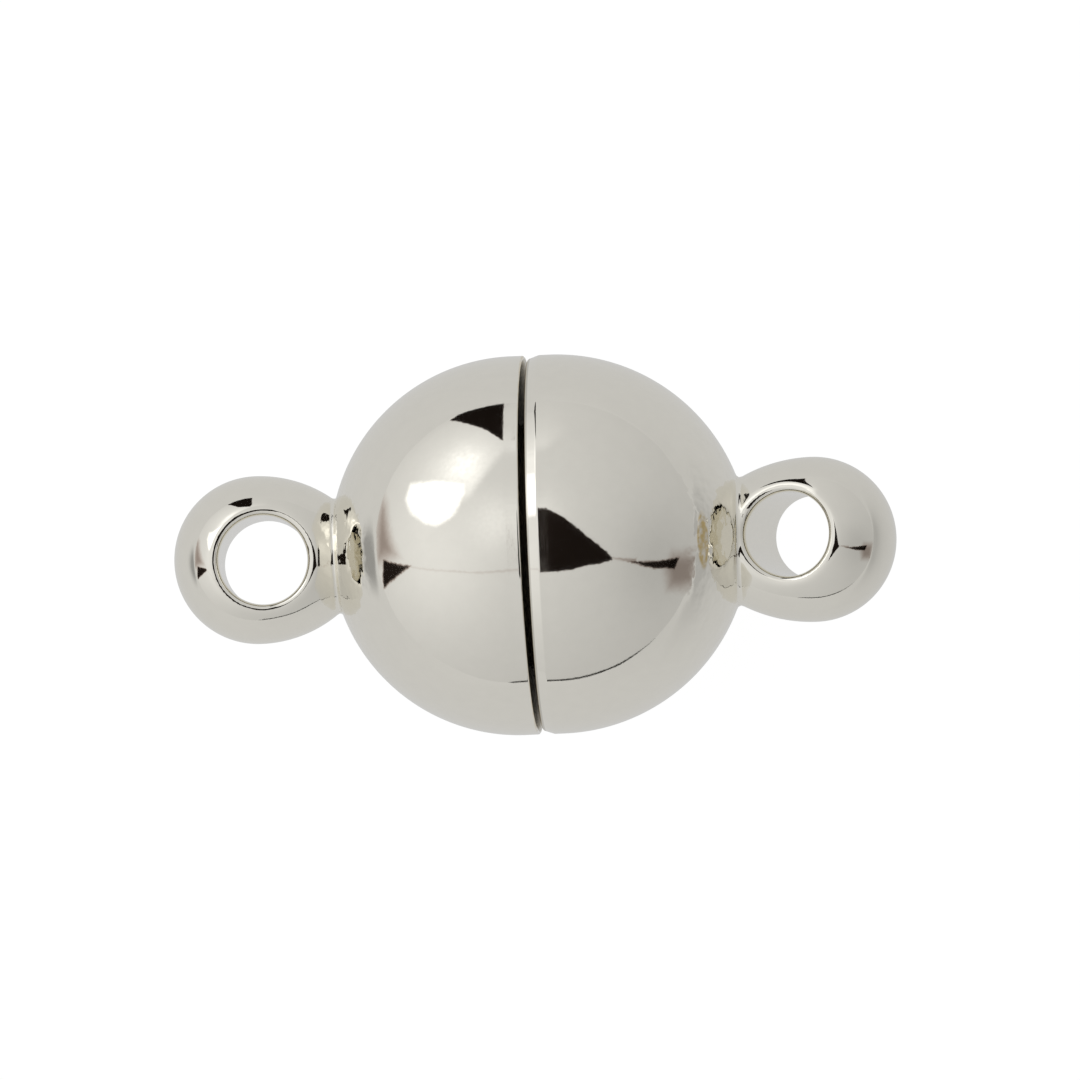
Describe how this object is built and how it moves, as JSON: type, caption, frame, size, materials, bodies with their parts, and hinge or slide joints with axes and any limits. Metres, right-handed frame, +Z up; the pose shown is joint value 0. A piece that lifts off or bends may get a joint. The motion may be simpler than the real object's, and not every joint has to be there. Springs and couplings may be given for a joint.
{
  "type": "magnetic clasp",
  "caption": "Ball-shaped magnetic jewellery clasp in two polished metal halves, each with a drilled eye; the halves pull apart along the clasp's axis.",
  "frame": {"origin": "under the middle of the seam, on the surface that the clasp lies on", "axes": "+X along the clasp's axis towards the right half, +Y across it, +Z up, along the bores of the eyes and towards the open side of the seam"},
  "size_m": [0.0152, 0.008, 0.008],
  "materials": {
    "polished_metal": "bright polished white metal plating on brass",
    "magnet_plating": "nickel plating, tumbled"
  },
  "bodies": {
    "left": {"left_half": "polished_metal", "left_magnet": "magnet_plating"},
    "right": {"right_half": "polished_metal", "right_magnet": "magnet_plating"}
  },
  "joints": [
    {"name": "pull_apart", "type": "slide", "parent": "left", "child": "right", "axis": [1, 0, 0], "range_m": [0, 0.006]}
  ]
}
